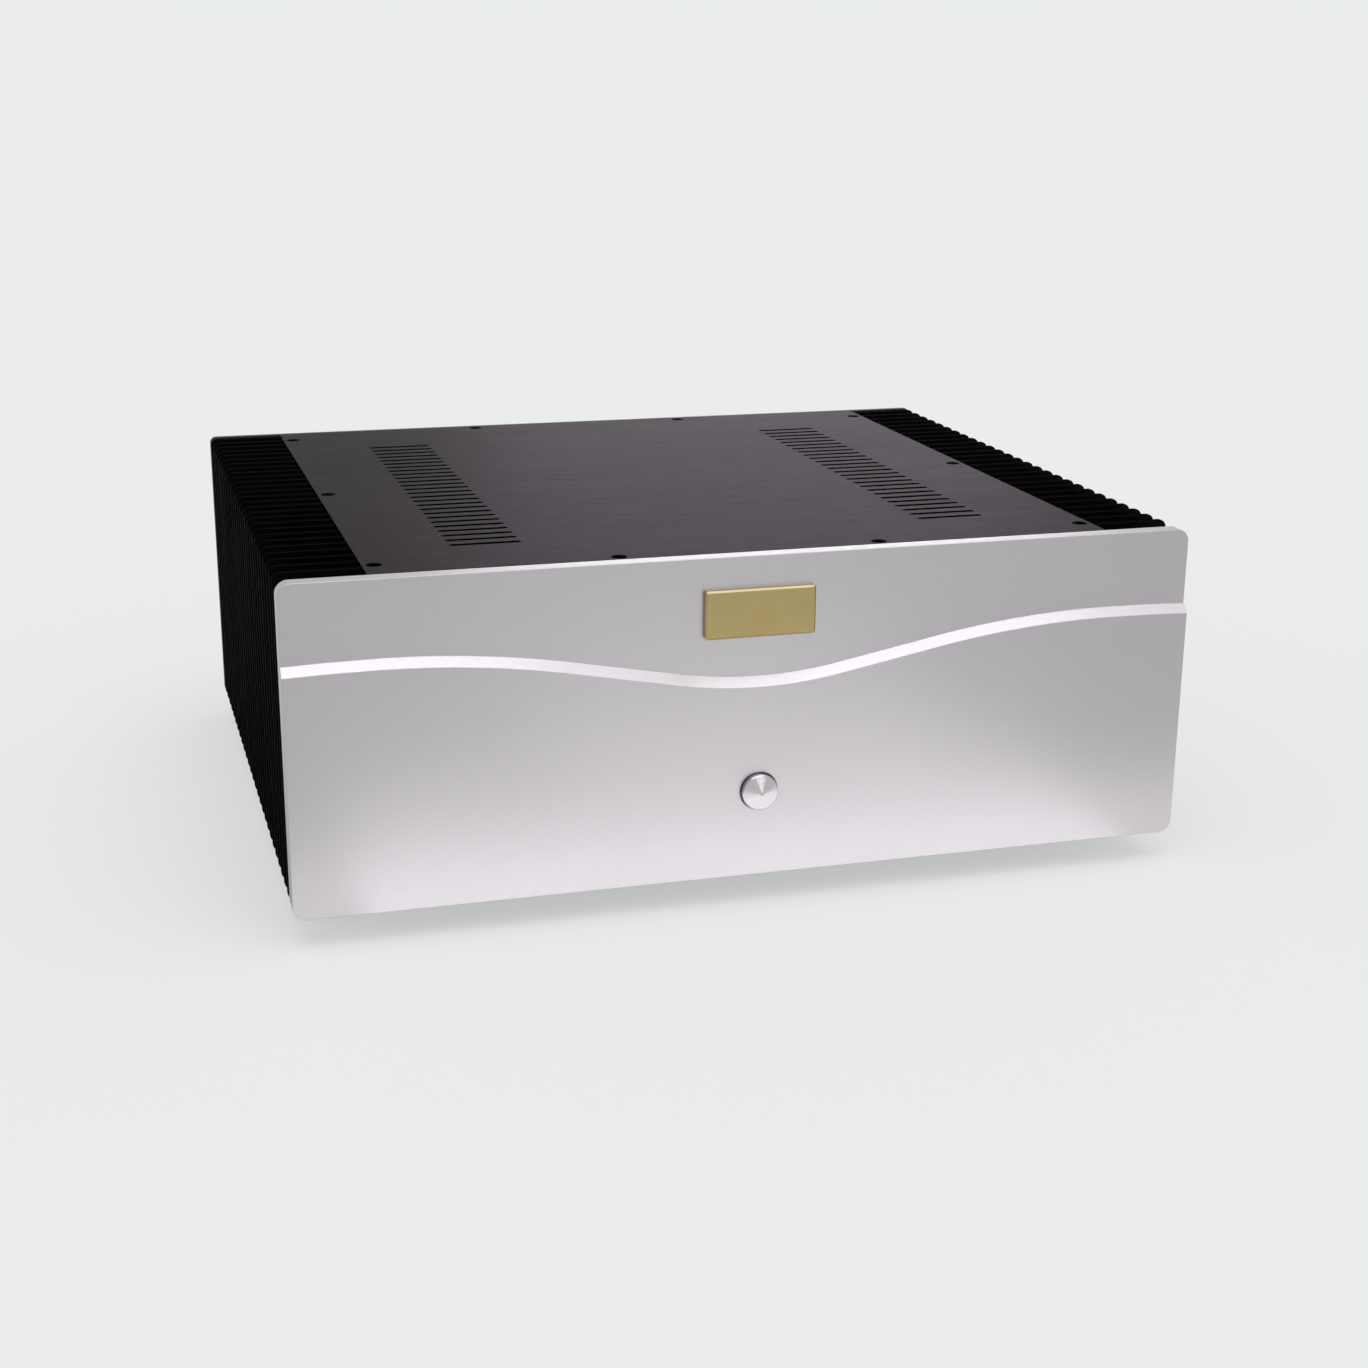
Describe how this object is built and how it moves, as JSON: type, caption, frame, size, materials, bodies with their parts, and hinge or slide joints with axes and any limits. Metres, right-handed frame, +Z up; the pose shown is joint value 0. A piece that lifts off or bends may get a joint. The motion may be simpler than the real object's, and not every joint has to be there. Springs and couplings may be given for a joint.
{
  "type": "power amplifier",
  "caption": "Stereo power amplifier with a thick sculpted metal front panel, finned heat sinks along both sides, a slotted top cover, a push button and rear terminals.",
  "frame": {"origin": "middle of the bounding box's underside, on the surface the feet rest on", "axes": "+X to the right seen from the front, +Y from the front panel to the rear, +Z up"},
  "size_m": [0.43, 0.3942, 0.166],
  "materials": {
    "panel_metal": "satin silver anodised",
    "plate_brass": "bevelled, lightly aged",
    "button_metal": "turned face",
    "spring_wire": "bright wire",
    "bracket_steel": "zinc plated",
    "switch_plastic": "moulded",
    "cover_metal": "brushed, black anodised",
    "sink_metal": "extruded, black anodised",
    "case_paint": "fine texture paint",
    "screw_black": "black oxide",
    "screw_zinc": "zinc plated",
    "foot_plastic": "moulded",
    "foot_rubber": "matt",
    "pin_plating": "nickel plated",
    "fuse_glass": "clear with metal end caps",
    "socket_gold": "gold plated",
    "socket_core": "white insulator",
    "insulator_plastic": "moulded",
    "knob_red": "moulded",
    "knob_black": "moulded",
    "winding_tape": "windings under clear amber tape",
    "board_green": "green solder mask",
    "capacitor_sleeve": "shrunk sleeve",
    "component_black": "moulded",
    "pad_grey": "silicone sheet",
    "resistor_ceramic": "matt",
    "relay_plastic": "moulded",
    "lead_mains": "brown insulation",
    "lead_supply": "red insulation",
    "lead_speaker": "grey insulation",
    "lead_signal": "black screened lead"
  },
  "bodies": {
    "chassis": {"front_panel": "panel_metal", "name_plate": "plate_brass", "button_spring": "spring_wire", "switch_bracket": "bracket_steel", "power_switch": "switch_plastic", "switch_nut": "bracket_steel", "top_cover": "cover_metal", "cover_screws": "screw_black", "heat_sink_left": "sink_metal", "heat_sink_right": "sink_metal", "rear_panel": "case_paint", "bottom_plate": "case_paint", "bottom_screws": "screw_black", "cross_rails": "bracket_steel", "frame_screws": "screw_zinc", "rear_panel_screws": "screw_black", "feet": "foot_plastic", "foot_pads": "foot_rubber", "foot_bolts": "screw_zinc", "mains_inlet": "switch_plastic", "inlet_pins": "pin_plating", "inlet_screws": "screw_black", "input_shells": "socket_gold", "input_cores": "socket_core", "input_washers": "insulator_plastic", "input_nuts": "socket_gold", "terminal_insulators": "insulator_plastic", "terminal_posts": "socket_gold", "terminal_nuts": "socket_gold", "transformer": "winding_tape", "transformer_pads": "foot_rubber", "transformer_dish": "screw_zinc", "transformer_bolt": "screw_zinc", "supply_board": "board_green", "filter_capacitors": "capacitor_sleeve", "rectifiers": "component_black", "board_standoffs": "screw_zinc", "board_screws": "screw_zinc", "amplifier_board_left": "board_green", "amplifier_board_right": "board_green", "output_transistors": "component_black", "transistor_pads": "pad_grey", "emitter_resistors": "resistor_ceramic", "protection_board": "board_green", "relays": "relay_plastic", "mains_leads": "lead_mains", "supply_leads": "lead_supply", "speaker_leads": "lead_speaker", "signal_leads": "lead_signal"},
    "power_button": {"power_button": "button_metal"},
    "fuse_drawer": {"fuse_drawer": "switch_plastic", "fuse": "fuse_glass"},
    "clamp_left_plus": {"clamp_washer_left_plus": "socket_gold"},
    "knob_left_plus": {"terminal_knob_left_plus": "knob_red"},
    "clamp_left_minus": {"clamp_washer_left_minus": "socket_gold"},
    "knob_left_minus": {"terminal_knob_left_minus": "knob_black"},
    "clamp_right_minus": {"clamp_washer_right_minus": "socket_gold"},
    "knob_right_minus": {"terminal_knob_right_minus": "knob_black"},
    "clamp_right_plus": {"clamp_washer_right_plus": "socket_gold"},
    "knob_right_plus": {"terminal_knob_right_plus": "knob_red"}
  },
  "joints": [
    {"name": "power_button_press", "type": "slide", "parent": "chassis", "child": "power_button", "axis": [0, 1, 0], "range_m": [0, 0.003], "stiffness_N_per_m": 600, "deforming": ["button_spring"]},
    {"name": "fuse_drawer_slide", "type": "slide", "parent": "chassis", "child": "fuse_drawer", "axis": [0, 1, 0], "range_m": [0, 0.016]},
    {"name": "clamp_travel_left_plus", "type": "slide", "parent": "chassis", "child": "clamp_left_plus", "axis": [0, 1, 0], "range_m": [0, 0.005]},
    {"name": "knob_turn_left_plus", "type": "hinge", "parent": "clamp_left_plus", "child": "knob_left_plus", "pos_m": [-0.1195, 0.1868, 0.062], "axis": [0, 1, 0], "range_deg": [0, 1440]},
    {"name": "clamp_travel_left_minus", "type": "slide", "parent": "chassis", "child": "clamp_left_minus", "axis": [0, 1, 0], "range_m": [0, 0.005]},
    {"name": "knob_turn_left_minus", "type": "hinge", "parent": "clamp_left_minus", "child": "knob_left_minus", "pos_m": [-0.1005, 0.1868, 0.062], "axis": [0, 1, 0], "range_deg": [0, 1440]},
    {"name": "clamp_travel_right_minus", "type": "slide", "parent": "chassis", "child": "clamp_right_minus", "axis": [0, 1, 0], "range_m": [0, 0.005]},
    {"name": "knob_turn_right_minus", "type": "hinge", "parent": "clamp_right_minus", "child": "knob_right_minus", "pos_m": [0.1005, 0.1868, 0.062], "axis": [0, 1, 0], "range_deg": [0, 1440]},
    {"name": "clamp_travel_right_plus", "type": "slide", "parent": "chassis", "child": "clamp_right_plus", "axis": [0, 1, 0], "range_m": [0, 0.005]},
    {"name": "knob_turn_right_plus", "type": "hinge", "parent": "clamp_right_plus", "child": "knob_right_plus", "pos_m": [0.1195, 0.1868, 0.062], "axis": [0, 1, 0], "range_deg": [0, 1440]}
  ],
  "couplings": [
    {"joint": "clamp_travel_left_plus", "follows": "knob_turn_left_plus", "m_per_rad": 0.00019894},
    {"joint": "clamp_travel_left_minus", "follows": "knob_turn_left_minus", "m_per_rad": 0.00019894},
    {"joint": "clamp_travel_right_minus", "follows": "knob_turn_right_minus", "m_per_rad": 0.00019894},
    {"joint": "clamp_travel_right_plus", "follows": "knob_turn_right_plus", "m_per_rad": 0.00019894}
  ]
}
